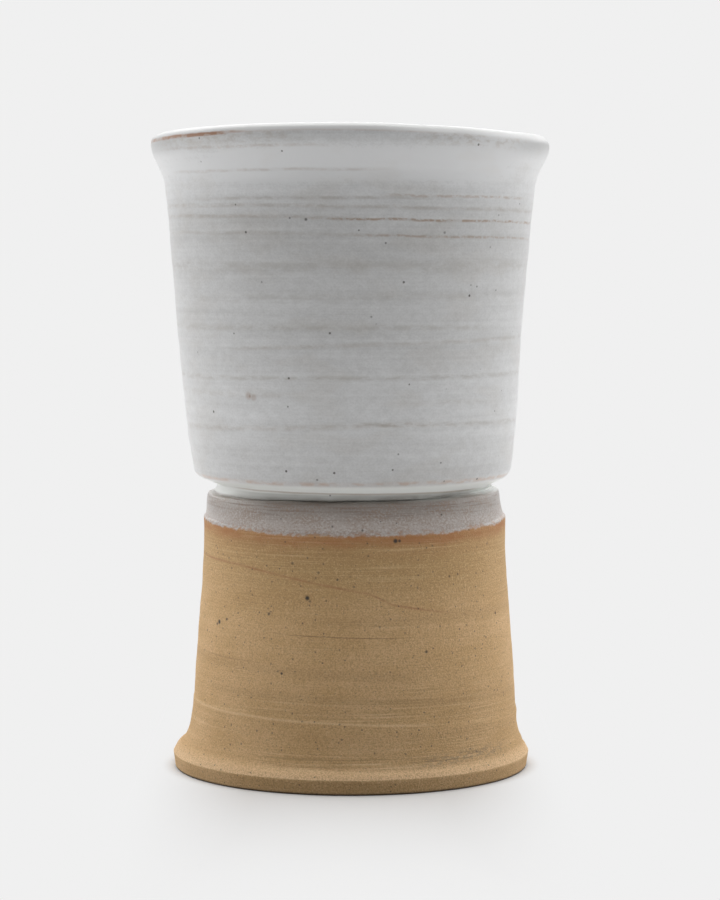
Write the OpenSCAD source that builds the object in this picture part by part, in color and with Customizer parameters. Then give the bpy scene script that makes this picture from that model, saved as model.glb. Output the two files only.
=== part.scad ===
// Wheel-thrown stoneware goblet, one piece of fired clay.
// A straight-sided bowl with a turned-out lip stands on a wide, drum-shaped pedestal that is
// open below. The form is one closed line turned about the upright axis: it runs down the inside
// of the pedestal, round the foot, up the outside, over the lip and down the inside of the bowl.

/* [Foot] */
// Diameter of the foot where it stands
foot_d = 78.4; // [76:0.2:90]
// Height of the straight face round the foot
foot_face_h = 3.3; // [2:0.1:6]
// How far the straight face leans out towards its top edge
foot_face_lean = 0.4; // [0:0.1:1]
// Height of the rounded bead above the straight face
foot_bead_h = 2.5; // [1.5:0.1:5]
// How far the bead draws in before the cove
foot_bead_in = 1.9; // [0.5:0.1:4]
// Height of the hollow cove between the bead and the pedestal
foot_cove_h = 5.2; // [3:0.1:9]
// Radius that softens the outer lower edge of the foot
foot_edge_r = 0.3; // [0.1:0.1:1]
// Width of the ring that stands on the table
foot_ring_w = 4.6; // [3:0.1:7]
// Radius that softens the inner lower edge of the foot
foot_inner_r = 1.2; // [0.5:0.1:2.5]

/* [Pedestal] */
// Height of the pedestal, from the table to the crease under the waist bead
pedestal_h = 61.6; // [45:0.1:90]
// Diameter of the pedestal just above the cove
pedestal_foot_d = 72.5; // [68:0.1:76]
// Diameter of the pedestal just under the glaze line
pedestal_top_d = 67; // [63:0.1:72]
// How far the side is drawn in between those two
pedestal_draw_in = 0.4; // [0:0.05:1.5]
// Height of the turning ridge above the table
ridge_z = 15; // [13:0.1:25]
// Height over which the turning ridge fades out
ridge_fade_h = 1; // [0.5:0.1:3]
// How far the side stands proud below the turning ridge
ridge_proud = 0.15; // [0:0.05:0.5]
// Thickness of the pedestal's wall
pedestal_wall = 5.2; // [3:0.1:8]
// Radius of the rounded corner inside the top of the pedestal
hollow_corner_r = 12; // [6:0.5:16]
// Thickness of clay over the hollow, up to the crease under the waist bead
hollow_roof = 0.2; // [0:0.1:3]

/* [Shoulder and waist] */
// Height of the glazed band below the crease under the waist bead
glaze_band_h = 6.3; // [4:0.1:12]
// Height of the soft step where the glaze ends
glaze_step_h = 0.8; // [0.4:0.1:1.5]
// How far the side steps in where the glaze ends
glaze_step_in = 0.5; // [0:0.05:1]
// Diameter of the pedestal at its shoulder
shoulder_d = 65; // [62:0.1:68]
// Height of the shoulder's rounding
shoulder_round_h = 1.4; // [0.8:0.1:3]
// Diameter at the bottom of the two creases at the waist
waist_d = 60.6; // [54:0.1:63]
// Height of the bead between the two creases
waist_bead_h = 1.35; // [0.8:0.05:3]
// How far the bead stands out of the creases
waist_bead_out = 0.7; // [0.3:0.05:1.2]

/* [Bowl] */
// Height of the bowl from the upper crease to the top of the lip
bowl_h = 77.4; // [60:0.1:110]
// Angle at which the bowl's underside rises from the crease
bowl_under_angle = 26; // [15:1:35]
// Diameter of the bowl just above its lower corner
bowl_base_d = 70.5; // [67:0.1:76]
// Radius of the bowl's lower corner
bowl_corner_r = 2.8; // [1.5:0.1:4]
// Diameter of the bowl at the neck, where the lip begins to turn out
neck_d = 81.3; // [78:0.1:85]
// How far the wall swells out near its foot
bowl_belly = 0.35; // [0:0.05:1.5]
// Thickness of the bowl's wall
bowl_wall = 4.3; // [3:0.1:6]
// Thickness of the bowl's floor, measured from the upper crease
bowl_floor_t = 6; // [4:0.1:10]
// Radius of the rounded corner inside the bowl
bowl_inner_corner_r = 9; // [5:0.5:14]

/* [Lip] */
// Diameter of the lip at its widest
lip_d = 87.7; // [84:0.1:94]
// Height over which the wall turns out to the lip
flare_h = 10.4; // [7:0.1:16]
// How late the wall turns out, where 1 is an even curve
flare_delay = 1.25; // [1:0.05:1.5]
// Height of the lip's rounded top above its widest place
lip_round_h = 2.4; // [1.5:0.1:3.5]
// Share of the lip's thickness that lies outside its top
lip_crest_share = 0.58; // [0.4:0.02:0.7]

/* [Throwing rings] */
// Spacing of the rings outside the bowl
ring_pitch = 5.6; // [4:0.1:12]
// Depth of the rings outside the bowl
ring_depth = 0.05; // [0:0.01:0.25]
// Spacing of the finger rings inside the bowl
inner_ring_pitch = 8; // [5:0.1:14]
// Depth of the finger rings inside the bowl
inner_ring_depth = 0.2; // [0:0.05:0.4]
// Spacing of the turning rings on the pedestal
turning_pitch = 7; // [4:0.1:12]
// Depth of the turning rings on the pedestal
turning_depth = 0.04; // [0:0.01:0.2]

/* [Hidden] */
$fn = 160;
// Steps of a drawn curve and of a small curve
curve_steps = 10;
small_steps = 6;
// Share of a drawn curve's width and height at which its handles stand
handle = 0.4;
// Steps of one ring, and the height of a step where there are no rings
ring_steps = 6;
plain_step = 5;
// Lean of the bowl's wall from upright where it leaves the lower corner
corner_lean = 7;
glaze_colour = [0.76, 0.76, 0.75];

// Radii
foot_r = foot_d / 2;
foot_top_r = foot_r + foot_face_lean;
bead_in_r = foot_top_r - foot_bead_in;
pedestal_foot_r = pedestal_foot_d / 2;
pedestal_top_r = pedestal_top_d / 2;
shoulder_r = shoulder_d / 2;
waist_r = waist_d / 2;
bowl_base_r = bowl_base_d / 2;
neck_r = neck_d / 2;
lip_r = lip_d / 2;

// Heights above the table
bead_z = foot_face_h + foot_bead_h;
cove_z = bead_z + foot_cove_h;
glaze_z = pedestal_h - glaze_band_h;
shoulder_z = pedestal_h - shoulder_round_h;
bowl_z = pedestal_h + waist_bead_h;
rim_z = bowl_z + bowl_h;
lip_z = rim_z - lip_round_h;
neck_z = lip_z - flare_h;
bowl_floor_z = bowl_z + bowl_floor_t;
hollow_roof_z = pedestal_h - hollow_roof;
hollow_corner_z = hollow_roof_z - hollow_corner_r;
inner_corner_z = bowl_floor_z + bowl_inner_corner_r;

// Centre of the bowl's lower corner, set so that the underside meets it smoothly
corner_r = bowl_base_r - bowl_corner_r * cos(corner_lean);
corner_start_r = corner_r + bowl_corner_r * sin(bowl_under_angle);
corner_start_z = bowl_z + (corner_start_r - waist_r) * tan(bowl_under_angle);
corner_z = corner_start_z + bowl_corner_r * cos(bowl_under_angle);
wall_z = corner_z - bowl_corner_r * sin(corner_lean);

// The belly's curve u * (1 - u)^4 has its peak at a fifth of the wall's height
function belly_curve(u) = u * pow(1 - u, 4) / (0.2 * pow(0.8, 4));

// The side's curve v^3 * (1 - v) has its peak at three quarters of the pedestal's height
function draw_curve(v) = pow(v, 3) * (1 - v) / (pow(0.75, 3) * 0.25);

// A smooth step from 0 to 1
function smooth(t) = t <= 0 ? 0 : t >= 1 ? 1 : t * t * (3 - 2 * t);

// A row of rings that fades out one pitch before each end
function rings(z, low, high, pitch, depth) =
    let (fade = min((z - low) / pitch, (high - z) / pitch))
    depth * sin(360 * (z - low) / pitch) * smooth(fade);

// An elliptical arc without its first point, which ends the stretch before it
function arc(centre, width, height, from, to, steps) =
    [for (i = [1:steps])
        let (a = from + (to - from) * i / steps)
        centre + [width * cos(a), height * sin(a)]];

// A curve with two end points and two handles, without its first point
function drawn(start, handle_1, handle_2, end, steps) =
    [for (i = [1:steps])
        let (t = i / steps, s = 1 - t)
        s * s * s * start + 3 * s * s * t * handle_1 + 3 * s * t * t * handle_2 + t * t * t * end];

// Evenly spaced heights from one to another, without the first
function climb(from, to, step) =
    let (steps = ceil(abs(to - from) / step))
    [for (i = [1:steps]) from + (to - from) * i / steps];

// Radius of the pedestal's side, without its rings
function pedestal_r(z) =
    let (v = (z - cove_z) / (glaze_z - cove_z))
    pedestal_foot_r + (pedestal_top_r - pedestal_foot_r) * v
        - pedestal_draw_in * draw_curve(v)
        - ridge_proud * smooth((z - ridge_z) / ridge_fade_h) * (1 - v);

// Radius of the bowl's wall below the neck, without its rings
function wall_r(z) =
    let (u = (z - wall_z) / (neck_z - wall_z))
    bowl_base_r + (neck_r - bowl_base_r) * u + bowl_belly * belly_curve(u);

// Radius of the turned-out part above the neck, upright where it reaches the lip
function flare_r(z) =
    let (s = pow((z - neck_z) / flare_h, flare_delay))
    neck_r + (lip_r - neck_r) * smooth(s)
        + (neck_r - bowl_base_r) / (neck_z - wall_z) * flare_h * s * pow(1 - s, 2);

// Radius of the whole outer wall of the bowl, without its rings
function bowl_r(z) = z > neck_z ? flare_r(z) : wall_r(z);

// The hollow under the pedestal, from its roof down to the standing ring
hollow_side_r = pedestal_r(hollow_corner_z) - pedestal_wall;
ring_inner_r = foot_r - foot_edge_r - foot_ring_w - foot_inner_r;
hollow_line = concat(
    [[0, hollow_roof_z], [hollow_side_r - hollow_corner_r, hollow_roof_z]],
    arc([hollow_side_r - hollow_corner_r, hollow_corner_z],
        hollow_corner_r, hollow_corner_r, 90, 0, curve_steps),
    [for (z = climb(hollow_corner_z, cove_z, plain_step)) [pedestal_r(z) - pedestal_wall, z]],
    drawn([pedestal_foot_r - pedestal_wall, cove_z], [pedestal_foot_r - pedestal_wall, bead_z],
        [ring_inner_r, bead_z], [ring_inner_r, foot_inner_r], curve_steps),
    arc([ring_inner_r + foot_inner_r, foot_inner_r],
        foot_inner_r, foot_inner_r, 180, 270, small_steps));

// The foot: its edge, its straight face, its bead and the cove above it
foot_line = concat(
    [[foot_r - foot_edge_r, 0]],
    arc([foot_r - foot_edge_r, foot_edge_r], foot_edge_r, foot_edge_r, -90, 0, small_steps),
    [[foot_top_r, foot_face_h]],
    drawn([foot_top_r, foot_face_h],
        [foot_top_r, foot_face_h + handle * foot_bead_h],
        [bead_in_r + handle * foot_bead_in, bead_z - handle * foot_bead_h],
        [bead_in_r, bead_z], small_steps),
    drawn([bead_in_r, bead_z],
        [bead_in_r - handle * (bead_in_r - pedestal_foot_r), bead_z + handle * foot_cove_h],
        [pedestal_foot_r, cove_z - handle * foot_cove_h],
        [pedestal_foot_r, cove_z], curve_steps));

// The bare side of the pedestal up to the glaze line
side_line = [for (z = climb(cove_z, glaze_z, turning_pitch / ring_steps))
    [pedestal_r(z) + rings(z, cove_z, glaze_z, turning_pitch, turning_depth), z]];

// The glazed shoulder, the lower crease, the bead and the upper crease
glaze_step_r = pedestal_top_r - glaze_step_in;
waist_line = concat(
    drawn([pedestal_top_r, glaze_z],
        [pedestal_top_r, glaze_z + handle * glaze_step_h],
        [glaze_step_r, glaze_z + (1 - handle) * glaze_step_h],
        [glaze_step_r, glaze_z + glaze_step_h], small_steps),
    [[shoulder_r, shoulder_z]],
    arc([waist_r, shoulder_z], shoulder_r - waist_r, shoulder_round_h, 0, 90, small_steps),
    arc([waist_r, pedestal_h + waist_bead_h / 2], waist_bead_out, waist_bead_h / 2,
        -90, 90, small_steps));

// The bowl's underside, its lower corner, its ringed wall and the turned-out part
bowl_line = concat(
    [[corner_start_r, corner_start_z]],
    arc([corner_r, corner_z], bowl_corner_r, bowl_corner_r,
        bowl_under_angle - 90, -corner_lean, small_steps),
    [for (z = climb(wall_z, neck_z, ring_pitch / ring_steps))
        [bowl_r(z) + rings(z, wall_z, neck_z, ring_pitch, ring_depth), z]],
    [for (i = [1:curve_steps]) let (z = neck_z + flare_h * i / curve_steps) [bowl_r(z), z]]);

// The rounded lip, from its widest place over its top to the inside of the wall
crest_r = lip_r - bowl_wall * lip_crest_share;
lip_line = concat(
    arc([crest_r, lip_z], lip_r - crest_r, lip_round_h, 0, 90, small_steps),
    arc([crest_r, lip_z], crest_r - (lip_r - bowl_wall), lip_round_h, 90, 180, small_steps));

// The inside of the bowl, with its finger rings, down to the middle of its floor
inner_side_r = bowl_r(inner_corner_z) - bowl_wall;
inside_line = concat(
    [for (i = [1:curve_steps])
        let (z = lip_z - flare_h * i / curve_steps) [bowl_r(z) - bowl_wall, z]],
    [for (z = climb(neck_z, inner_corner_z, inner_ring_pitch / ring_steps))
        [bowl_r(z) - bowl_wall
            + rings(z, inner_corner_z, neck_z, inner_ring_pitch, inner_ring_depth), z]],
    arc([inner_side_r - bowl_inner_corner_r, inner_corner_z],
        bowl_inner_corner_r, bowl_inner_corner_r, 0, -90, curve_steps),
    [[0, bowl_floor_z]]);

module goblet() {
    color(glaze_colour)
        rotate_extrude()
            polygon(concat(hollow_line, foot_line, side_line, waist_line, bowl_line,
                lip_line, inside_line));
}

goblet();
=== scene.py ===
import math

import bmesh
import bpy
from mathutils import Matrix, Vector, noise


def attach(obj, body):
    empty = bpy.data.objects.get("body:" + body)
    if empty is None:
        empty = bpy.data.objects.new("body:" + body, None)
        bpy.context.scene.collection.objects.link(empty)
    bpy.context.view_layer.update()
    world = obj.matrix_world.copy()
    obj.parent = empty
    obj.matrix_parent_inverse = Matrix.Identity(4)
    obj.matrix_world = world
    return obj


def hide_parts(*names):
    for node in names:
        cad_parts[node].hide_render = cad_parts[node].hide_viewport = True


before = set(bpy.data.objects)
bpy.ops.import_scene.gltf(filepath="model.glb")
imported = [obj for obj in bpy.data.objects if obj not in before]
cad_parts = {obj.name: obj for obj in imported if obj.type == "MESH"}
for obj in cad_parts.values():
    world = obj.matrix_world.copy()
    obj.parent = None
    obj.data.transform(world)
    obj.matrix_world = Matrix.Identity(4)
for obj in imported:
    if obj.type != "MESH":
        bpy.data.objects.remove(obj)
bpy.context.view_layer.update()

# The camera
# The picture is taken from a little below the lip, from some way off, so the goblet is
# seen almost level and its rim hides the inside of the bowl.
camera_x, camera_y, camera_z = 0.00198, -0.6208, 0.11271
camera_dip = math.radians(3.922)
camera = bpy.data.objects.new("camera", bpy.data.cameras.new("camera"))
camera.data.sensor_width = 36
camera.data.lens = 112
camera.location = (camera_x, camera_y, camera_z)
camera.rotation_euler = (math.radians(90) - camera_dip, 0, 0)
bpy.context.collection.objects.link(camera)
bpy.context.scene.camera = camera

# The hollow under the pedestal
# The goblet is thrown as one piece of clay and trimmed upside down: the foot is hollowed
# with a loop tool, which leaves a wall of even thickness and a rounded corner at the roof.
foot_r, foot_edge_r, foot_ring_w, foot_inner_r = 39.2, 0.3, 4.6, 1.2
bead_z, cove_z = 5.8, 11.0
side_foot_r, side_top_r, side_draw_in = 36.25, 33.5, 0.4
ridge_z, ridge_fade_h, ridge_proud = 15.0, 1.0, 0.15
glaze_z, hollow_roof_z, hollow_corner_r, foot_wall = 55.3, 61.4, 12.0, 5.2


def smooth(t):
    """0 below 0, 1 above 1 and an even change between them."""
    t = min(max(t, 0), 1)
    return t * t * (3 - 2 * t)


def climb(start, *stretches):
    """Heights from start. Each stretch gives its far end and the step of the rows up to it."""
    heights = []
    for end, step in stretches:
        count = math.ceil(abs(end - start) / step)
        heights += [start + (end - start) * i / count for i in range(1, count + 1)]
        start = end
    return heights


def arc(centre_r, centre_z, width, height, first, last, steps):
    """An elliptical arc without its first point."""
    angles = [math.radians(first + (last - first) * i / steps) for i in range(1, steps + 1)]
    return [(centre_r + width * math.cos(a), centre_z + height * math.sin(a)) for a in angles]


def drawn(start, handle_1, handle_2, end, steps):
    """A curve with two end points and two handles, without its first point."""
    points = []
    for i in range(1, steps + 1):
        t = i / steps
        s = 1 - t
        shares = (s * s * s, 3 * s * s * t, 3 * s * t * t, t * t * t)
        ends = (start, handle_1, handle_2, end)
        points.append(tuple(sum(w * p[k] for w, p in zip(shares, ends)) for k in (0, 1)))
    return points


def side_r(z):
    """Radius of the pedestal's side at a height. It is drawn in most three quarters of the way up."""
    v = (z - cove_z) / (glaze_z - cove_z)
    drawn_in = side_draw_in * v ** 3 * (1 - v) / (0.75 ** 3 * 0.25)
    ridge = ridge_proud * smooth((z - ridge_z) / ridge_fade_h) * (1 - v)
    return side_foot_r + (side_top_r - side_foot_r) * v - drawn_in - ridge


hollow_corner_z = hollow_roof_z - hollow_corner_r
hollow_r = side_r(hollow_corner_z) - foot_wall
hollow_low_r = side_foot_r - foot_wall
ring_inner_r = foot_r - foot_edge_r - foot_ring_w - foot_inner_r
hollow = [(r, hollow_roof_z) for r in [0] + climb(0, (hollow_r - hollow_corner_r, 1.6))]
hollow += arc(hollow_r - hollow_corner_r, hollow_corner_z,
              hollow_corner_r, hollow_corner_r, 90, 0, 12)
hollow += [(side_r(z) - foot_wall, z) for z in climb(hollow_corner_z, (cove_z, 1.6))]
hollow += drawn((hollow_low_r, cove_z), (hollow_low_r, bead_z),
                (ring_inner_r, bead_z), (ring_inner_r, foot_inner_r), 10)
hollow += arc(ring_inner_r + foot_inner_r, foot_inner_r, foot_inner_r, foot_inner_r, 180, 270, 6)

# The foot
# The clay is pushed out at the wheel head into a bead, cut straight below with a wooden
# knife, which leaves a crisp edge, and it runs into the side in a hollow cove.
foot_top_r, foot_face_h = 39.6, 3.3
bead_out_r, bead_out_z, crease_r, crease_h = 38.85, 4.65, 37.75, 5.9
bead_handles = (39.42, 3.55), (39.12, 4.25)
crease_handles = (38.45, 5.1), (38.0, 5.6)
cove_handles = (37.45, 6.5), (36.5, 8.0)
foot = [(foot_r - foot_edge_r, 0)]
foot += arc(foot_r - foot_edge_r, foot_edge_r, foot_edge_r, foot_edge_r, -90, 0, 5)
foot += [(foot_r + (foot_top_r - foot_r) * i / 6, foot_edge_r + (foot_face_h - foot_edge_r) * i / 6)
         for i in range(1, 7)]
foot += drawn((foot_top_r, foot_face_h), *bead_handles, (bead_out_r, bead_out_z), 8)
foot += drawn((bead_out_r, bead_out_z), *crease_handles, (crease_r, crease_h), 8)
foot += drawn((crease_r, crease_h), *cove_handles, (side_foot_r, cove_z), 14)

# The side of the pedestal and its glazed shoulder
# The bare clay rises to the glaze line, where it steps in a little, and the shoulder turns
# over into a crease. The rows are close where a groove or the glaze line needs them.
shoulder_r, shoulder_z = 32.5, 60.2
waist_r, waist_crease_z, waist_bead_r, waist_bead_z = 30.5, 61.6, 31.1, 62.4
waist_handles = (30.9, 61.7), (31.1, 62.0)
glaze_step_h, glaze_step_r = 0.8, 33.0
step_top_z = glaze_z + glaze_step_h
side = [(side_r(z), z) for z in
        climb(cove_z, (13, 0.4), (16.2, 0.25), (31.4, 0.7), (33.6, 0.14), (38, 0.6),
              (49, 0.45), (glaze_z, 0.35))]
side += drawn((side_top_r, glaze_z), (side_top_r, glaze_z + 0.4 * glaze_step_h),
              (glaze_step_r, glaze_z + 0.6 * glaze_step_h),
              (glaze_step_r, step_top_z), 7)
side += [(glaze_step_r + (shoulder_r - glaze_step_r) * (z - step_top_z) / (shoulder_z - step_top_z), z)
         for z in climb(step_top_z, (shoulder_z, 0.45))]
side += arc(waist_r, shoulder_z, shoulder_r - waist_r, waist_crease_z - shoulder_z, 0, 90, 10)
side += drawn((waist_r, waist_crease_z), *waist_handles, (waist_bead_r, waist_bead_z), 8)

# The bowl
# The wall is thrown nearly straight and leans outwards to the neck, where the potter's
# finger turns it out into a lip. The underside rises from the crease to a soft corner.
bowl_z, bowl_joint_r, bowl_base_r, bowl_corner_r, bowl_belly = 63.25, 31.05, 35.25, 2.8, 0.35
under_degrees, lean_degrees = 26, 7
joint_handles = (31.1, 62.75), (31.0, 62.95)
neck_r, neck_z, lip_r, lip_z, rim_z = 40.65, 127.55, 43.85, 137.95, 140.35
flare_h, flare_delay, bowl_wall = lip_z - neck_z, 1.25, 4.3
under, lean = math.radians(under_degrees), math.radians(lean_degrees)
corner_r = bowl_base_r - bowl_corner_r * math.cos(lean)
corner_start_r = corner_r + bowl_corner_r * math.sin(under)
corner_start_z = bowl_z + (corner_start_r - bowl_joint_r) * math.tan(under)
corner_z = corner_start_z + bowl_corner_r * math.cos(under)
wall_z = corner_z - bowl_corner_r * math.sin(lean)


def bowl_r(z):
    """Radius of the outside of the bowl at a height. Its belly is a fifth of the way up."""
    slope = (neck_r - bowl_base_r) / (neck_z - wall_z)
    if z > neck_z:
        s = ((z - neck_z) / flare_h) ** flare_delay
        return neck_r + (lip_r - neck_r) * smooth(s) + slope * flare_h * s * (1 - s) ** 2
    u = (z - wall_z) / (neck_z - wall_z)
    return bowl_base_r + slope * (z - wall_z) + bowl_belly * u * (1 - u) ** 4 / (0.2 * 0.8 ** 4)


bowl = drawn((waist_bead_r, waist_bead_z), *joint_handles, (bowl_joint_r, bowl_z), 7)
bowl += [(bowl_joint_r + (corner_start_r - bowl_joint_r) * i / 7,
          bowl_z + (corner_start_z - bowl_z) * i / 7) for i in range(1, 8)]
bowl += arc(corner_r, corner_z, bowl_corner_r, bowl_corner_r, under_degrees - 90, -lean_degrees, 10)
bowl += [(bowl_r(z), z) for z in
         climb(wall_z, (74, 0.8), (98.5, 0.7), (116.5, 0.9), (126.5, 0.32), (neck_z, 0.5),
               (lip_z, 0.45))]

# The lip
# The rim was pressed flat and then rounded with a strip of wet leather, which left a soft
# edge where its outer face turns into the top.
crest_r, lip_edge_r, lip_edge_z = 41.36, 43.3, 139.65
lip_face_handles = (lip_r, 138.6), (43.65, 139.35)
lip_top_handles = (42.95, 139.95), (42.2, rim_z)
lip = drawn((lip_r, lip_z), *lip_face_handles, (lip_edge_r, lip_edge_z), 12)
lip += drawn((lip_edge_r, lip_edge_z), *lip_top_handles, (crest_r, rim_z), 12)
lip += arc(crest_r, lip_z, crest_r - lip_r + bowl_wall, rim_z - lip_z, 90, 180, 12)

# The inside of the bowl
# It was opened with the fingers and runs down beside the outer wall, all glazed, to a
# rounded corner and a flat floor.
bowl_floor_z, inner_corner_r = 68.95, 9.0
inner_corner_z = bowl_floor_z + inner_corner_r
inner_r = bowl_r(inner_corner_z) - bowl_wall
inside = [(bowl_r(z) - bowl_wall, z) for z in
          climb(lip_z, (neck_z, 0.9), (inner_corner_z, 1.3))]
inside += arc(inner_r - inner_corner_r, inner_corner_z, inner_corner_r, inner_corner_r, 0, -90, 10)
inside += [(r, bowl_floor_z) for r in climb(inner_r - inner_corner_r, (0, 1.5))]

# Throwing the whole goblet
# One line of points is spun about the upright axis. Each point remembers which skin of the
# pot it belongs to: the bare hollow, the outside or the inside of the bowl.
TURNS = 192
HOLLOW, OUTSIDE, INSIDE = 0, 1, 2
pot = bmesh.new()
skin = pot.verts.layers.float.new("skin")
line = []
for kind, stretch in ((HOLLOW, hollow), (OUTSIDE, foot + side + bowl + lip), (INSIDE, inside)):
    for r, z in stretch:
        line.append(pot.verts.new((0, -r, z)))
        line[-1][skin] = kind
edges = [pot.edges.new(pair) for pair in zip(line, line[1:])]
bmesh.ops.spin(pot, geom=line + edges, cent=(0, 0, 0), axis=(0, 0, 1),
               angle=math.tau, steps=TURNS, use_merge=True)
bmesh.ops.remove_doubles(pot, verts=pot.verts, dist=1e-4)
bmesh.ops.recalc_face_normals(pot, faces=pot.faces)

# The potter's marks
# A thrown pot is never quite true: its axis wanders, the rim is a little high in front and
# behind and low at the right, and the fingers leave rings that rise or fall as they go round.

# Height, and how far the axis stands to the right there.
AXIS = [
    (0, -0.03), (5, 0.0), (6.3, 0.45), (9.4, 0.55), (14, 0.82), (20, 0.80), (45, 0.75), (54, 0.82),
    (60, 0.5), (67, 0.28), (75, 0.05), (100, -0.33), (120, -0.22), (137, -0.17), (141, -0.3),
]

# Height in the middle, rise towards the right for each mm, half of the width, depth, the way
# that the ring faces and how far round it goes from there, in degrees.
RINGS = [
    (131.0, 0.0, 0.7, 0.05, -28, 80),
    (125.4, 0.004, 0.8, 0.06, 0, 360),
    (123.4, -0.014, 0.7, 0.05, 0, 360),
    (121.0, -0.018, 0.9, 0.10, 0, 360),
    (117.6, -0.016, 0.8, 0.06, 0, 360),
    (111.0, 0.0, 2.2, 0.06, 0, 360),
    (104.5, 0.006, 1.6, 0.03, 0, 360),
    (98.2, 0.0, 1.4, 0.05, 0, 360),
    (94.3, 0.025, 1.3, 0.05, 10, 110),
    (87.5, 0.004, 1.2, 0.05, 0, 360),
    (82.6, -0.02, 1.4, 0.04, 0, 360),
    (77.6, 0.02, 1.6, 0.05, -10, 120),
    (71.5, 0.0, 1.8, 0.04, 0, 360),
    (57.4, 0.0, 0.5, 0.05, 0, 360),
    (48.5, 0.0, 2.2, 0.06, 0, 360),
    (40.5, 0.01, 2.5, 0.07, 0, 360),
    (32.65, -0.022, 0.18, 0.12, -3, 26),
    (26.2, 0.0, 1.8, 0.05, 0, 360),
    (19.6, 0.01, 1.3, 0.05, 0, 360),
]

wide_wave, finger_wave, foot_wave, waist_wave, crease_wander = 0.09, 0.05, 0.12, 0.45, 0.35
crease_tilt, joint_tilt, waist_dip, waist_cut, waist_fill, bead_dip = 0.5, 0.33, 0.5, 1.0, 0.6, 0.8
line_mid_z, line_rise, line_wander, ridge_low, ridge_fall = 55.6, 0.0463, 0.35, 0.9, 0.035
spiral_deep, spiral_h, floor_deep, floor_ring_w, inner_wave = 0.2, 8, 0.18, 6.5, 0.12
comb_deep, comb_h, roof_deep, roof_ring_w, hollow_wave = 0.10, 3.1, 0.10, 3.4, 0.12
rim_saddle, rim_tilt, rim_low, rim_right, rim_wander, lip_round = 0.61, 0.47, 0.35, 0.6, 0.12, 0.35


def axis_x(z):
    """How far the pot's axis stands to the right at a height."""
    for (low, start), (high, end) in zip(AXIS, AXIS[1:]):
        if z <= high:
            return start + (end - start) * smooth((z - low) / (high - low))
    return AXIS[-1][1]


def hump(z, middle, reach):
    """1 at the middle height, fading to 0 over the reach."""
    return math.exp(-((z - middle) / reach) ** 2)


def window(around, way, spread):
    """1 where the pot faces that way, fading to 0 at the spread, all in degrees."""
    gap = abs((around - way + 180) % 360 - 180)
    return smooth((spread - gap) / 14)


def uneven(x, y, z, across, upright, seed):
    """A soft random value about 0 whose patches are so wide and so high."""
    return noise.noise(Vector((x / across + seed, y / across, z / upright + seed)))


for v in pot.verts:
    x, y, z = v.co
    r = math.hypot(x, y)
    if r < 1e-3:
        v.co = (axis_x(z), 0, z)
        continue
    right, back = x / r, y / r
    around = math.degrees(math.atan2(x, -y))
    swell = lift = 0
    if v[skin] == OUTSIDE:
        for middle, rise, reach, depth, way, spread in RINGS:
            near = hump(z, middle + rise * x, reach)
            if near > 0.01:
                strength = 0.75 + 0.6 * uneven(x, y, 0, 22, 1, middle)
                swell -= depth * strength * near * window(around, way, spread)
        swell += wide_wave * uneven(x, y, z, 30, 9, 0)
        swell += finger_wave * uneven(x, y, z, 7, 2.5, 40) * smooth(z / 8)
        swell += foot_wave * uneven(x, y, z, 9, 4, 90) * smooth((8 - z) / 3)
        # The waist's crease and bead are cut a little askew and pressed unevenly
        tilt = crease_tilt - (crease_tilt + joint_tilt) * smooth((z - 61.8) / 0.9)
        tilt = tilt * right - crease_wander * uneven(x, y, 0, 11, 1, 61)
        lift += tilt * hump(z, waist_bead_z, 1.6)
        lift -= waist_dip * max(-back, 0) * hump(z, 63.4, 3.0)
        swell += waist_wave * uneven(x, y, z, 7, 3, 77) * hump(z, 62.1, 0.8)
        swell -= waist_cut * smooth((abs(right) - 0.55) / 0.35) * hump(z, 62.6, 0.9)
        swell += waist_fill * smooth((abs(right) - 0.2) / 0.4) * hump(z, 61.5, 0.45)
        # The crease over the foot's bead is pressed down in front
        lift -= bead_dip * max(-back, 0) ** 2 * hump(z, crease_h, 1.7)
        # The step at the glaze line follows the dip of the glaze
        line_z = line_mid_z + line_rise * y + line_wander * uneven(x, y, 0, 12, 1, 5)
        lift += (line_z - glaze_z) * hump(z, glaze_z, 2.5)
        # The turning ridge runs down to the right
        lift -= (ridge_low + ridge_fall * x) * hump(z, ridge_z + 0.5, 2.2)
    elif v[skin] == INSIDE:
        swell += (spiral_deep * math.sin(math.tau * z / spiral_h - math.radians(around))
                  * smooth((z - 72) / 8) * smooth((132 - z) / 8))
        swell += inner_wave * uneven(x, y, z, 25, 10, 7)
        if z < bowl_floor_z + 3:
            fade = smooth((inner_r - r) / 6) * smooth(r / 4)
            lift += floor_deep * math.sin(math.tau * r / floor_ring_w - math.radians(around)) * fade
    else:
        comb = math.sin(math.tau * z / comb_h - math.radians(around))
        swell += comb_deep * comb * smooth((z - 8) / 6)
        swell += hollow_wave * uneven(x, y, z, 20, 8, 3)
        if z > hollow_roof_z - 2:
            ring = math.sin(math.tau * r / roof_ring_w + math.radians(around))
            lift += roof_deep * ring * smooth(r / 3)
    if z > 120:
        rise = rim_saddle * (back * back - right * right) - rim_tilt * right - rim_low
        rise += rim_right * max(right, 0) ** 8
        rise += rim_wander * uneven(x, y, 0, 16, 1, 11)
        lift += rise * smooth((z - 120) / 19)
        # The edge of the lip is rounder at the right
        swell -= lip_round * smooth((right - 0.1) / 0.4) * hump(z, 139.6, 0.7) * (r > crest_r)
    r += swell
    v.co = (r * right + axis_x(z), r * back, z + lift)

MM = 0.001
bmesh.ops.scale(pot, vec=(MM, MM, MM), verts=pot.verts)
for face in pot.faces:
    face.smooth = True
mesh = bpy.data.meshes.new("goblet_stoneware")
pot.to_mesh(mesh)
pot.free()
goblet = bpy.data.objects.new("goblet_stoneware", mesh)
bpy.context.collection.objects.link(goblet)

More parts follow.
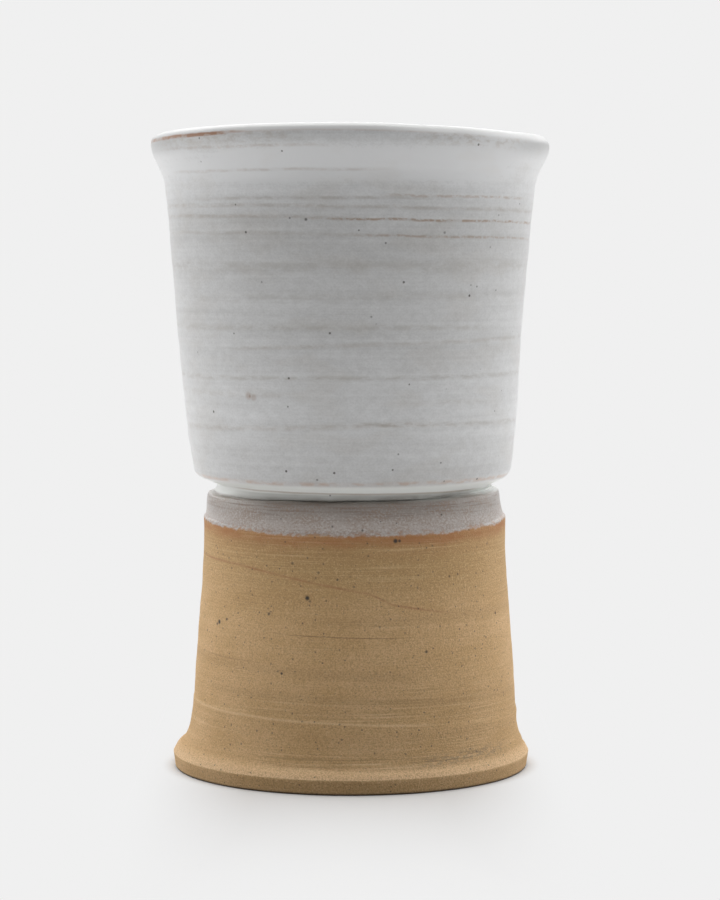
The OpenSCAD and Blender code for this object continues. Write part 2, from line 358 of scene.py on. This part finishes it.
# The finish
# The clay is a buff, sandy stoneware with iron specks, left bare below the shoulder and
# under the foot. The goblet was dipped upside down in a white satin glaze.
finish = bpy.data.materials.new("glazed_stoneware")
finish.use_nodes = True
tree = finish.node_tree
tree.nodes.clear()


def put(tree, kind, *values, out=0, **settings):
    """Adds a node with its settings and its inputs in order, and gives one of its outputs."""
    made = tree.nodes.new(kind)
    for name, value in settings.items():
        setattr(made, name, value)
    for place, value in enumerate(values):
        if isinstance(value, bpy.types.NodeSocket):
            tree.links.new(value, made.inputs[place])
        elif value is not None:
            made.inputs[place].default_value = value
    return made.outputs[out]


def maths(operation, *values):
    """A sum on the values, in the node tree that is being made."""
    return put(tree, "ShaderNodeMath", *values, operation=operation)


def times(*values):
    """The product of the values."""
    product = values[0]
    for value in values[1:]:
        product = maths("MULTIPLY", product, value)
    return product


def plus(*values):
    """The values added up."""
    total = values[0]
    for value in values[1:]:
        total = maths("ADD", total, value)
    return total


def most(*values):
    """The largest of the values."""
    largest = values[0]
    for value in values[1:]:
        largest = maths("MAXIMUM", largest, value)
    return largest


def ramp(value, low, high, at_low=0.0, at_high=1.0):
    """A smooth change from one value to another between two limits."""
    return put(tree, "ShaderNodeMapRange", value, low, high, at_low, at_high,
               interpolation_type="SMOOTHSTEP")


def mixed(share, first, second):
    """A colour between two, by a share."""
    made = tree.nodes.new("ShaderNodeMix")
    made.data_type = "RGBA"
    for place, value in ((0, share), (6, first), (7, second)):
        if isinstance(value, bpy.types.NodeSocket):
            tree.links.new(value, made.inputs[place])
        else:
            made.inputs[place].default_value = value if place == 0 else (*value, 1)
    return made.outputs[2]


in_mm = put(tree, "ShaderNodeVectorMath", put(tree, "ShaderNodeTexCoord", out=3), None, None,
            1 / MM, operation="SCALE")
x_mm, y_mm, z_mm = put(tree, "ShaderNodeSeparateXYZ", in_mm).node.outputs
out_mm = maths("SQRT", plus(times(x_mm, x_mm), times(y_mm, y_mm)))
rightness, frontness = maths("DIVIDE", x_mm, out_mm), maths("DIVIDE", y_mm, times(out_mm, -1.0))


def scaled(across, upright, seed):
    """The place on the pot, counted in patches so many mm across and so many high."""
    return put(tree, "ShaderNodeMapping", in_mm, (seed, seed * 0.7, seed * 1.3), None,
               (1 / across, 1 / across, 1 / upright))


def grain(across, upright, detail=2.0, rough=0.5, seed=0.0):
    """A cloudy pattern about 0, whose patches are so many mm across and so many high."""
    made = tree.nodes.new("ShaderNodeTexNoise")
    tree.links.new(scaled(across, upright, seed), made.inputs["Vector"])
    for name, value in (("Scale", 1), ("Detail", detail), ("Roughness", rough)):
        made.inputs[name].default_value = value
    return maths("SUBTRACT", made.outputs[0], 0.5)


def dots(spread, size, share, seed):
    """Small round dots, one in a share of the cells: the cells' width and the dots' radius in mm."""
    made = tree.nodes.new("ShaderNodeTexVoronoi")
    tree.links.new(scaled(spread, spread, seed), made.inputs["Vector"])
    made.inputs["Scale"].default_value = 1
    chance = put(tree, "ShaderNodeSeparateColor", made.outputs["Color"])
    soft = ramp(made.outputs["Distance"], 0.4 * size / spread, size / spread, 1.0, 0.0)
    return times(soft, maths("LESS_THAN", chance, share))


def facing(way, spread):
    """1 on the side that faces one way round the pot, fading at the spread in degrees."""
    across, ahead = math.sin(math.radians(way)), math.cos(math.radians(way))
    towards = plus(times(rightness, across), times(frontness, ahead))
    soft = math.cos(math.radians(max(spread - 18, 0)))
    return ramp(towards, math.cos(math.radians(spread)), soft)


def girdle(middle, rise, reach, wander):
    """1 on a wandering line round the pot that rises to the right, fading at its reach."""
    gap = maths("ABSOLUTE", plus(z_mm, times(x_mm, -rise), wander, -middle))
    return ramp(gap, 0.0, reach, 1.0, 0.0)


def flecks(places, skin_r):
    """Single flecks: the way each faces, its height, its radius and how strong it is."""
    together = 0.0
    for way, height, size, strength in places:
        angle = math.radians(way)
        r = skin_r(height)
        middle = (r * math.sin(angle) + axis_x(height), -r * math.cos(angle), height)
        gap = put(tree, "ShaderNodeVectorMath", in_mm, middle, operation="DISTANCE", out=1)
        together = maths("MAXIMUM", ramp(gap, size * 0.35, size * 1.15, strength, 0.0), together)
    return together


# Where the glaze stops
# The goblet was dipped a little askew, so the line is low in front and its edge is broken
# into small specks. The hollow stays bare.
ragged = plus(times(grain(6.0, 9.0, 2.0, 0.5, 4.0), 1.1),
              times(grain(1.1, 0.8, 2.0, 0.75, 9.0), 1.3))
above_line = plus(z_mm, times(y_mm, -line_rise), -line_mid_z, ragged)
not_hollow = most(maths("GREATER_THAN", out_mm, 29.4), maths("GREATER_THAN", z_mm, 62.3))
glazed = times(ramp(above_line, -0.25, 0.35), not_hollow)

# The bare clay
# Sand and grog show as fine light and dark grains, with faint clouds from the kiln, and the
# trimming tool has left comb lines under the glaze and in other places.
CLAY_LIGHT, CLAY, CLAY_DARK = (0.69, 0.452, 0.231), (0.625, 0.399, 0.189), (0.37, 0.235, 0.105)
TOASTED, SAND_PALE, RIDGE_HIGHLIGHT = (0.49, 0.31, 0.135), (0.90, 0.69, 0.41), (0.95, 0.73, 0.45)
SCRATCHED, BEAD_HIGHLIGHT, CONTACT_SHADE = (0.25, 0.14, 0.07), (0.97, 0.69, 0.42), (0.06, 0.045, 0.035)
sand = grain(0.34, 0.30, 1.0, 0.7, 2.0)
clouds = grain(15.0, 9.0, 2.0, 0.5, 6.0)
drag = grain(22.0, 0.30, 2.0, 0.6, 12.0)
under_line = times(ramp(z_mm, 48.5, 51.5), facing(-5, 52), 0.7)
over_ridge = times(ramp(z_mm, 14.5, 16.0), ramp(z_mm, 22.0, 17.0), facing(5, 60), 0.5)
over_bead = times(ramp(z_mm, 4.9, 5.8), ramp(z_mm, 9.0, 7.0), facing(6, 50), 1.0)
dragged = plus(0.22, times(ramp(grain(20.0, 5.0, 1.0, 0.5, 31.0), 0.05, 0.18), 0.35),
               under_line, over_ridge, over_bead)
clay = mixed(ramp(clouds, -0.2, 0.2), CLAY, CLAY_LIGHT)
clay = mixed(times(ramp(z_mm, 33.0, 51.0), ramp(frontness, 0.45, 0.95, 0.5, 0.85)), clay, TOASTED)
clay = mixed(ramp(sand, 0.02, -0.15, 0.0, 0.45), clay, CLAY_DARK)
clay = mixed(ramp(sand, 0.05, 0.20, 0.0, 0.35), clay, SAND_PALE)
clay = mixed(times(ramp(drag, 0.02, 0.13), dragged, 0.35), clay, CLAY_DARK)
clay = mixed(times(ramp(drag, -0.03, -0.14), dragged, 0.40), clay, SAND_PALE)

# Dark lines in the clay: height, rise, half of the width, strength, way, spread.
SCRATCHES = [
    (32.72, -0.022, 0.17, 0.62, -3, 26),
    (26.1, -0.03, 0.28, 0.25, -52, 22),
    (24.6, -0.045, 1.8, 0.13, -35, 65),
    (19.3, -0.03, 1.4, 0.12, 10, 80),
    (36.0, 0.02, 2.0, 0.10, 40, 60),
    (22.0, 0.02, 0.4, 0.22, 150, 60),
    (38.0, -0.06, 0.35, 0.30, 190, 70),
]
shake = times(grain(18.0, 60.0, 2.0, 0.5, 35.0), 0.5)
scratches = 0.0
for middle, rise, reach, strength, way, spread in SCRATCHES:
    mark = girdle(middle, rise, reach, shake)
    scratches = plus(scratches, times(mark, facing(way, spread), strength))
clay = mixed(maths("MINIMUM", scratches, 1.0), clay, SCRATCHED)
# Painted highlight along the top of the turning ridge.
ridge_highlight = times(girdle(14.45, -0.033, 0.42, times(shake, 1.6)), facing(-26, 60))
clay = mixed(times(ridge_highlight, 0.33), clay, RIDGE_HIGHLIGHT)
# Painted highlight on the top of the foot's bead, strongest just above its crisp edge.
bead_highlight = times(ramp(z_mm, 3.15, 3.35), ramp(z_mm, 6.2, 3.9, 0.0, 0.65),
                ramp(sand, -0.12, 0.12, 0.5, 1.1))
clay = mixed(bead_highlight, clay, BEAD_HIGHLIGHT)
# Painted shade along the foot's lowest outer edge, where it stands on the floor.
contact_shade = times(ramp(z_mm, 0.62, 0.15), ramp(out_mm, 38.5, 38.9))
clay = mixed(times(contact_shade, 0.9), clay, CONTACT_SHADE)

# A brown line that crosses the side and dips where a finger slipped
SLIP_BROWN = (0.40, 0.18, 0.085)
slip = plus(times(ramp(x_mm, 3.0, 10.0), 1.5), times(ramp(x_mm, -22.0, -35.0), 1.1), times(shake, 0.6))
crossing = times(girdle(42.7, -0.185, 0.42, slip), facing(-27, 70),
                 ramp(grain(6.0, 3.0, 1.0, 0.5, 19.0), -0.25, 0.15, 0.25, 0.6))
clay = mixed(crossing, clay, SLIP_BROWN)

# A grey smear in the cove, where a wet hand held the foot
SMEAR_GREY = (0.20, 0.165, 0.125)
smear = times(girdle(5.4, 0.045, 2.0, times(shake, 1.5)), facing(42, 26),
              ramp(grain(1.6, 0.45, 2.0, 0.75, 29.0), -0.12, 0.12))
clay = mixed(times(smear, 0.45), clay, SMEAR_GREY)

# Rust where the glaze's edge has drawn iron out of the clay
RUST = (0.43, 0.185, 0.075)
rust = plus(times(ramp(above_line, -3.0, -0.8), 0.65), times(ramp(above_line, -7.0, -2.0), 0.2))
rust = times(rust, ramp(grain(9.0, 2.0, 2.0, 0.6, 21.0), -0.2, 0.15, 0.55, 1.0))
clay = mixed(rust, clay, RUST)

# Iron specks: fine and middling ones all over, and the single ones that stand out, each with
# the way it faces, its height, its radius and how strong it is
IRON_FINE, IRON_MIDDLING, IRON = (0.17, 0.13, 0.085), (0.11, 0.085, 0.065), (0.055, 0.05, 0.045)
CLAY_FLECKS = [
    (-17, 41.0, 0.62, 0.95), (-16, 40.3, 0.35, 0.6), (-58, 34.1, 0.62, 0.95), (-59.5, 33.6, 0.38, 0.8),
    (-53, 35.0, 0.40, 0.9), (-68, 31.6, 0.36, 0.7), (-23, 48.2, 0.42, 0.6), (-13, 46.4, 0.36, 0.55),
    (-6, 45.0, 0.32, 0.75), (-32, 37.2, 0.45, 0.7), (-32.5, 38.3, 0.28, 0.4), (-40, 40.9, 0.3, 0.6),
    (15, 53.1, 0.6, 0.95), (16.5, 53.1, 0.42, 0.85), (-26, 24.8, 0.36, 0.9), (-41, 9.0, 0.36, 0.8),
    (-35, 12.2, 0.3, 0.6), (-18, 15.0, 0.3, 0.6), (-5, 14.6, 0.3, 0.6), (-4, 11.4, 0.3, 0.6),
    (-75, 11.7, 0.3, 0.6), (63, 35.7, 0.4, 0.85), (26, 29.4, 0.42, 0.8), (13, 36.6, 0.3, 0.5),
    (41, 45.3, 0.33, 0.6), (37, 45.0, 0.3, 0.7), (19, 1.4, 0.5, 0.8), (24, 1.8, 0.42, 0.8),
    (31, 5.4, 0.3, 0.7), (-10, 40.5, 0.28, 0.6), (-54, 41.5, 0.3, 0.5), (5, 50.0, 0.28, 0.6),
    (59, 51.0, 0.33, 0.6), (52, 50.6, 0.26, 0.5), (48, 29.0, 0.3, 0.6), (55, 31.0, 0.3, 0.6),
    (-30, 22.5, 0.26, 0.5), (-48, 24.0, 0.26, 0.5), (0, 43.5, 0.28, 0.6), (9, 35.0, 0.3, 0.5),
]
fine = dots(0.85, 0.17, 0.8, 3.0)
middling = dots(1.55, 0.27, 0.55, 8.0)
single = flecks(CLAY_FLECKS, side_r)
clay = mixed(times(fine, 0.5), clay, IRON_FINE)
clay = mixed(times(middling, 0.7), clay, IRON_MIDDLING)
clay = mixed(single, clay, IRON)

# The white glaze
# It is thinner and greyer over the rings, where the clay's warm colour comes through. It is whiter
# under the lip and low on the bowl, partly thick glaze and partly painted light from the bright floor,
# and in front the neck is painted whiter and the lip darker: painted light and shade.
THICK, THIN, WARM = (0.915, 0.92, 0.925), (0.658, 0.656, 0.65), (0.74, 0.66, 0.56)
streaks = grain(50.0, 0.8, 2.0, 0.5, 14.0)
bands = grain(80.0, 3.4, 1.0, 0.5, 17.0)
mottle = grain(2.0, 1.3, 2.0, 0.6, 23.0)
cloudy = grain(13.0, 6.0, 2.0, 0.5, 27.0)
salty = grain(0.45, 0.4, 1.0, 0.6, 61.0)
# The ramps that whiten the glaze above 121 mm and below 99 mm, and the two front terms at the lip, are
# partly painted light and shade.
thinness_and_painted_light = plus(
    0.58, times(streaks, 0.5), times(bands, 0.35), times(mottle, 0.6), times(cloudy, 0.5),
    times(salty, 0.6), times(ramp(z_mm, 106.0, 116.0), ramp(z_mm, 126.0, 120.0), 0.10),
    ramp(z_mm, 121.0, 131.5, 0.0, -0.55), ramp(z_mm, 99.0, 82.0, 0.0, -0.25),
    ramp(z_mm, 77.0, 69.0, 0.0, 0.30), times(ramp(z_mm, 133.0, 137.5), facing(-12, 50), 0.28),
    times(ramp(z_mm, 127.0, 131.0), ramp(z_mm, 137.0, 134.0), facing(5, 52), -0.25))
glaze = mixed(maths("MINIMUM", most(thinness_and_painted_light, 0.0), 1.0), THICK, THIN)
glaze = mixed(times(ramp(cloudy, 0.0, 0.15), 0.07), glaze, WARM)

# Lines where the glaze breaks over a ring: height, rise, half of the width, strength, how
# brown it is, the way it faces and how far round it goes.
BREAK_GREY, BREAK_BROWN = (0.46, 0.425, 0.37), (0.44, 0.28, 0.17)
BREAKS = [
    (131.0, 0.0, 0.50, 0.34, 0.3, -28, 42),
    (125.2, 0.0, 0.60, 0.36, 0.1, -15, 45),
    (125.8, -0.008, 0.50, 0.55, 0.6, 40, 34),
    (123.4, -0.014, 0.70, 0.36, 0.2, -5, 95),
    (121.1, -0.016, 0.65, 0.42, 0.2, -42, 50),
    (120.8, -0.010, 0.42, 0.85, 0.75, 36, 52),
    (117.6, -0.016, 0.65, 0.30, 0.1, -20, 75),
    (117.5, -0.014, 0.42, 0.55, 0.7, 42, 44),
    (111.0, 0.0, 2.20, 0.24, 0.0, 5, 100),
    (104.6, 0.01, 1.60, 0.16, 0.0, -20, 90),
    (98.2, 0.0, 1.10, 0.26, 0.0, -20, 80),
    (94.5, 0.030, 0.80, 0.31, 0.15, 20, 70),
    (87.6, 0.006, 0.90, 0.32, 0.0, -10, 110),
    (84.0, 0.0, 1.20, 0.22, 0.1, -60, 50),
    (82.3, 0.0, 0.90, 0.20, 0.1, 34, 26),
    (77.6, 0.036, 1.00, 0.32, 0.2, -25, 60),
    (77.9, -0.014, 0.90, 0.32, 0.1, 45, 50),
    (135.9, 0.0, 0.55, 0.30, 0.5, -38, 36),
    (110.0, 0.004, 0.8, 0.40, 0.3, 180, 80),
    (102.0, -0.01, 0.7, 0.40, 0.4, 170, 70),
    (90.0, 0.012, 0.8, 0.35, 0.2, 200, 75),
    (126.5, 0.006, 0.7, 0.40, 0.3, 150, 60),
]
shiver = plus(times(grain(12.0, 40.0, 2.0, 0.6, 33.0), 0.8),
              times(grain(3.0, 1.0, 2.0, 0.6, 39.0), 0.25))
dashes = ramp(grain(4.0, 1.4, 2.0, 0.7, 37.0), -0.12, 0.10, 0.22, 1.05)
breaking = browning = 0.0
for middle, rise, reach, strength, brown, way, spread in BREAKS:
    one = times(girdle(middle, rise, reach, shiver), facing(way, spread))
    breaking = plus(breaking, times(one, strength * (1 - brown)))
    browning = plus(browning, times(one, strength * brown))
glaze = mixed(maths("MINIMUM", times(breaking, dashes), 1.0), glaze, BREAK_GREY)
brown_dashes = ramp(grain(1.7, 1.0, 2.0, 0.75, 57.0), -0.10, 0.09, 0.12, 1.15)
glaze = mixed(maths("MINIMUM", times(browning, brown_dashes), 1.0), glaze, BREAK_BROWN)

# The edge of the lip, where the glaze has run off: greyer ends, specks, a brown line at the left and a
# painted highlight along the crest. Heights there are told from the uneven rim.
LIP_GREY, LIP_SPECK, LIP_BROWN = (0.52, 0.52, 0.515), (0.54, 0.47, 0.40), (0.44, 0.20, 0.09)
CREST_HIGHLIGHT = (0.94, 0.94, 0.935)
rim_rise = plus(times(frontness, frontness, rim_saddle), times(rightness, rightness, -rim_saddle),
                times(rightness, -rim_tilt), -rim_low,
                times(maths("POWER", most(rightness, 0.0), 8.0), rim_right))
rim_mm = maths("SUBTRACT", z_mm, rim_rise)
outer_lip = maths("GREATER_THAN", out_mm, 41.0)
lip_end = maths("ABSOLUTE", rightness)
greyer = times(ramp(rim_mm, 134.0, 138.0), ramp(lip_end, 0.72, 0.93), 0.6)
glaze = mixed(greyer, glaze, LIP_GREY)
lip_specks = ramp(grain(2.0, 1.0, 2.0, 0.65, 45.0), -0.08, 0.16, 0.15, 1.0)
speckled_lip = times(ramp(rim_mm, 135.6, 137.6), ramp(rim_mm, 139.0, 138.5), lip_specks, outer_lip)
two_sides = plus(0.03, times(facing(-42, 34), 0.32), times(facing(38, 26), 0.32))
glaze = mixed(times(speckled_lip, two_sides), glaze, LIP_SPECK)
off_line = plus(rim_mm, times(shiver, 0.5), times(facing(-72, 44), 0.35), -138.95)
lip_line = times(ramp(maths("ABSOLUTE", off_line), 0.15, 0.55, 1.0, 0.0), outer_lip)
lip_brown = times(plus(times(facing(-72, 44), 0.9), times(facing(-20, 50), 0.25)), lip_line,
                  ramp(grain(3.5, 1.5, 2.0, 0.6, 41.0), -0.2, 0.05, 0.3, 1.0))
glaze = mixed(maths("MINIMUM", lip_brown, 0.9), glaze, LIP_BROWN)
# Painted highlight along the crest of the lip, wider in front and gone at the ends.
crest_highlight_mm = plus(rim_mm, times(facing(0, 40), 0.5))
crest_highlight = times(ramp(crest_highlight_mm, 138.9, 139.6), ramp(lip_end, 0.93, 0.72))
glaze = mixed(crest_highlight, glaze, CREST_HIGHLIGHT)

# The warm edge of the bowl's lower corner, the thick glaze of its underside and the bead, and
# the dark line between them
CORNER_WARM, POOLED = (0.64, 0.48, 0.38), (0.93, 0.945, 0.92)
BEAD_GREY, JOINT_BROWN = (0.54, 0.54, 0.51), (0.44, 0.34, 0.26)
warm_edge = times(girdle(65.2, 0.0, 0.75, shiver), maths("GREATER_THAN", out_mm, 32.6))
warm_edge = times(warm_edge, ramp(grain(4.0, 2.0, 2.0, 0.65, 44.0), -0.10, 0.12, 0.10, 0.65))
glaze = mixed(warm_edge, glaze, CORNER_WARM)
waist_mm = plus(z_mm, times(facing(72, 34), -0.4))
waist_glaze = times(ramp(z_mm, 65.0, 64.2), ramp(waist_mm, 61.0, 61.7))
glaze = mixed(waist_glaze, glaze, POOLED)
glaze = mixed(times(ramp(z_mm, 62.9, 62.4), facing(0, 62), 0.6), glaze, BEAD_GREY)
joint = girdle(62.95, -0.0105, 0.38, times(shiver, 0.5))
glaze = mixed(times(joint, ramp(out_mm, 32.6, 31.8), facing(3, 66), 0.6), glaze, JOINT_BROWN)

# The thin glaze on the shoulder, wiped and speckled, darker towards the top with painted shade under
# the bowl, lighter at its lit ends with painted light, and dark grey in the crease over it with thin
# glaze and painted shade
SHOULDER_LOW, SHOULDER_HIGH, SHOULDER_END = (0.60, 0.54, 0.50), (0.38, 0.335, 0.305), (0.66, 0.62, 0.58)
WIPED, SPECKLE, SPECK_WHITE = (0.30, 0.23, 0.19), (0.40, 0.27, 0.19), (0.84, 0.82, 0.80)
CREASE_SHADE_AND_THIN_GLAZE, BITTEN = (0.26, 0.23, 0.20), (0.50, 0.28, 0.16)
shoulder = times(ramp(plus(waist_mm, times(shiver, 0.5)), 61.5, 60.9), not_hollow)
wiped = grain(14.0, 0.45, 2.0, 0.65, 43.0)
speckled = grain(0.48, 0.38, 1.0, 0.75, 47.0)
patchy = grain(6.0, 3.0, 2.0, 0.5, 49.0)
# Darker towards the top: partly the thin glaze, partly painted shade under the bowl's overhang.
shoulder_glaze = mixed(ramp(z_mm, 55.5, 60.5), SHOULDER_LOW, SHOULDER_HIGH)
upper = ramp(z_mm, 56.5, 60.5, 0.15, 0.75)
lit_ends = times(ramp(z_mm, 57.5, 60.5), maths("SUBTRACT", 1.0, facing(3, 48)))
lit_ends = times(lit_ends, plus(1.0, times(facing(72, 36), -0.6)))
shoulder_glaze = mixed(times(lit_ends, 0.55), shoulder_glaze, SHOULDER_END)
shoulder_glaze = mixed(times(ramp(wiped, 0.0, 0.12), upper), shoulder_glaze, WIPED)
speck_brown = ramp(plus(speckled, times(patchy, 0.6)), 0.02, 0.16, 0.0, 0.45)
shoulder_glaze = mixed(speck_brown, shoulder_glaze, SPECKLE)
speck_white = times(ramp(speckled, -0.03, -0.15), ramp(z_mm, 60.5, 57.0, 0.1, 0.32))
shoulder_glaze = mixed(speck_white, shoulder_glaze, SPECK_WHITE)
# Dark grey in the crease over the shoulder: thin glaze and painted shade.
crease_shade_and_thin_glaze = times(girdle(61.4, 0.016, 1.3, shiver), ramp(patchy, -0.12, 0.12, 0.25, 0.6),
               facing(6, 56))
glaze = mixed(shoulder, glaze, shoulder_glaze)
glaze = mixed(crease_shade_and_thin_glaze, glaze, CREASE_SHADE_AND_THIN_GLAZE)
bitten = times(ramp(above_line, 1.3, 0.2), shoulder,
               ramp(grain(1.2, 0.7, 1.0, 0.7, 53.0), -0.02, 0.10))
glaze = mixed(times(bitten, 0.65), glaze, BITTEN)

# Pinholes with iron in them, all over and singly, and a rusty blot low at the left
PINHOLE, BLOTTED = (0.075, 0.065, 0.055), (0.42, 0.28, 0.20)
BLOT = [(-35.5, 83.7, 1.0, 0.35), (-33.5, 83.4, 0.9, 0.35), (-35, 83.6, 0.45, 0.7)]
GLAZE_FLECKS = [
    (-33, 118.1, 0.32, 0.9), (-13, 120.7, 0.38, 0.75), (-18, 121.0, 0.28, 0.6), (11, 115.8, 0.28, 0.7),
    (17, 107.7, 0.32, 0.85), (41, 104.8, 0.34, 0.95), (44, 106.7, 0.26, 0.6), (49, 115.0, 0.26, 0.5),
    (-28, 107.7, 0.26, 0.5), (7, 100.5, 0.28, 0.5), (-6, 97.1, 0.3, 0.85), (-20, 87.6, 0.3, 0.85),
    (-53, 79.9, 0.34, 0.95), (-23, 67.9, 0.32, 0.95), (-6, 67.7, 0.32, 0.9), (-12, 66.2, 0.3, 0.6),
    (14, 68.3, 0.28, 0.8), (32, 69.5, 0.26, 0.7), (50, 65.4, 0.34, 0.95), (34, 65.4, 0.32, 0.7),
    (-19, 134.7, 0.28, 0.8), (38, 136.3, 0.32, 0.8), (-46, 137.8, 0.28, 0.7), (-48, 133.0, 0.26, 0.4),
    (30, 118.0, 0.36, 0.5), (52, 121.8, 0.28, 0.5), (-60, 92.5, 0.28, 0.4), (16, 71.6, 0.26, 0.6),
    (35, 58.2, 0.3, 0.8), (-8, 56.2, 0.3, 0.7), (3, 55.4, 0.34, 0.8), (-28, 57.5, 0.26, 0.5),
    (10, 57.2, 0.24, 0.6), (16, 56.8, 0.26, 0.7),
]


def outer_r(z):
    """Radius of the glazed outside at a height, on the shoulder near enough for a fleck."""
    if z > waist_bead_z:
        return bowl_r(z)
    side_bottom_z, side_h = 56, 4
    return glaze_step_r + (shoulder_r - glaze_step_r) * (z - side_bottom_z) / side_h


holes = most(times(dots(5.0, 0.26, 0.5, 51.0), 0.7), flecks(GLAZE_FLECKS, outer_r))
glaze = mixed(holes, glaze, PINHOLE)
glaze = mixed(flecks(BLOT, outer_r), glaze, BLOTTED)

# Relief of the sand, the drag lines and the glaze's soft skin, in mm
clay_relief = plus(times(sand, 0.16), times(drag, 0.035))
glaze_relief = plus(times(mottle, 0.04), times(streaks, 0.03), 0.05)
relief = plus(clay_relief, times(ramp(z_mm, glaze_z, glaze_z + 0.4),
                                 maths("SUBTRACT", glaze_relief, clay_relief)))

stoneware = tree.nodes.new("ShaderNodeBsdfPrincipled")
bumped = tree.nodes.new("ShaderNodeBump")
bumped.inputs["Strength"].default_value = 1
bumped.inputs["Distance"].default_value = MM
tree.links.new(relief, bumped.inputs["Height"])
stoneware.inputs["IOR"].default_value = 1.5
tree.links.new(mixed(glazed, clay, glaze), stoneware.inputs["Base Color"])
tree.links.new(ramp(glazed, 0.0, 1.0, 0.92, 0.30), stoneware.inputs["Roughness"])
tree.links.new(ramp(glazed, 0.0, 1.0, 0.0, 0.6), stoneware.inputs["Diffuse Roughness"])
tree.links.new(bumped.outputs[0], stoneware.inputs["Normal"])
tree.links.new(stoneware.outputs[0], tree.nodes.new("ShaderNodeOutputMaterial").inputs[0])

goblet.data.materials.append(finish)
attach(goblet, "root")
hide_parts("goblet")

# The floor
# A sheet of pale paper, wide enough to have no edge in the picture. It keeps the goblet's
# soft shadow in front of the foot, and the camera sees the rest as plain as the paper behind.
PALE = 0.871
sheet = bmesh.new()
bmesh.ops.create_grid(sheet, x_segments=2, y_segments=2, size=15)
floor_mesh = bpy.data.meshes.new("floor")
sheet.to_mesh(floor_mesh)
sheet.free()
floor = bpy.data.objects.new("floor", floor_mesh)
bpy.context.collection.objects.link(floor)
paper = bpy.data.materials.new("pale_paper")
paper.use_nodes = True
tree = paper.node_tree
tree.nodes.clear()
place = put(tree, "ShaderNodeSeparateXYZ", put(tree, "ShaderNodeTexCoord", out=3)).node.outputs
aside, ahead = maths("ABSOLUTE", place[0]), times(place[1], -1.0)
path = put(tree, "ShaderNodeLightPath").node.outputs
# For the light it throws back onto the goblet, the paper is painted darker near the foot, a painted
# shadow, and fades to dark from 0.2 m in front.
shadow_near_foot = most(ramp(ahead, 0.05, 0.16, 0.45, 1.05), ramp(aside, 0.03, 0.10, 0.45, 1.0),
                 ramp(ahead, 0.03, -0.02, 0.45, 1.0))
paper_end = ramp(ahead, 0.2, 0.45, 1.0, 0.05)
lit = plus(times(path["Is Camera Ray"], 0.82),
           times(maths("SUBTRACT", 1.0, path["Is Camera Ray"]), paper_end, shadow_near_foot))
away = maths("SQRT", plus(times(place[0], place[0]), times(place[1], place[1])))
plain_share = most(ramp(aside, 0.014, 0.047), ramp(ahead, 0.06, 0.19, 0.12, 1.0),
                   ramp(ahead, -0.03, -0.09))
plain_share = times(plain_share, ramp(away, 0.0385, 0.0425, 0.0, 1.0), path["Is Camera Ray"])
matt = put(tree, "ShaderNodeBsdfDiffuse", lit)
plain = put(tree, "ShaderNodeEmission", (PALE, PALE, PALE, 1), 1.0)
both = put(tree, "ShaderNodeMixShader", plain_share, matt, plain)
tree.links.new(both, tree.nodes.new("ShaderNodeOutputMaterial").inputs[0])
floor.data.materials.append(paper)

# The light
# A white studio: broad soft light from both sides, a soft lamp above and a little behind
# the goblet, and a dark room in front. The camera sees plain pale paper instead.
studio = bpy.data.worlds.new("studio")
bpy.context.scene.world = studio
studio.use_nodes = True
tree = studio.node_tree
tree.nodes.clear()
SIDE_LIGHT, BACK_LIGHT, TOP_LIGHT, FRONT_DARK, MIRRORED_LIGHT = 2.2, 0.2, 0.85, 0.05, 2.2
towards = put(tree, "ShaderNodeSeparateXYZ", put(tree, "ShaderNodeTexCoord", out=0)).node.outputs
flat = plus(times(towards[0], towards[0]), times(towards[1], towards[1]), 0.0001)
sideways = maths("DIVIDE", times(towards[0], towards[0]), flat)
level = ramp(sideways, 0.0, 0.6, BACK_LIGHT, SIDE_LIGHT)
level = plus(level, times(ramp(towards[2], 0.3, 0.95), maths("SUBTRACT", TOP_LIGHT, level)))
dark = times(ramp(times(towards[1], -1.0), -0.34, 0.66), ramp(towards[2], 0.9, 0.5))
level = plus(level, times(dark, maths("SUBTRACT", FRONT_DARK, level)))
mirrored = times(ramp(towards[2], 0.08, 0.35), ramp(towards[1], 0.2, 0.7))
mirrored = plus(PALE, times(mirrored, MIRRORED_LIGHT - PALE))
mirrored = plus(mirrored, times(dark, maths("SUBTRACT", FRONT_DARK, mirrored)))
path = put(tree, "ShaderNodeLightPath").node.outputs
reflected = maths("MAXIMUM", path["Is Glossy Ray"], path["Is Transmission Ray"])
level = plus(level, times(reflected, maths("SUBTRACT", mirrored, level)))
level = plus(level, times(path["Is Camera Ray"], maths("SUBTRACT", PALE, level)))
sky = put(tree, "ShaderNodeBackground", (1, 1, 1, 1), level)
tree.links.new(sky, tree.nodes.new("ShaderNodeOutputWorld").inputs[0])

softbox_w, softbox_d, softbox_level, softbox_place = 0.7, 0.45, 1.95, Vector((0, 0.15, 0.85))
lit_middle = Vector((0, 0, 0.07))
softbox = bpy.data.objects.new("softbox", bpy.data.lights.new("softbox", "AREA"))
softbox.data.shape = "RECTANGLE"
softbox.data.size, softbox.data.size_y = softbox_w, softbox_d
softbox.data.energy = math.pi * softbox_w * softbox_d * softbox_level
softbox.location = softbox_place
softbox.rotation_euler = (softbox_place - lit_middle).to_track_quat("Z", "Y").to_euler()
bpy.context.collection.objects.link(softbox)
bpy.context.scene.view_settings.view_transform = "Standard"
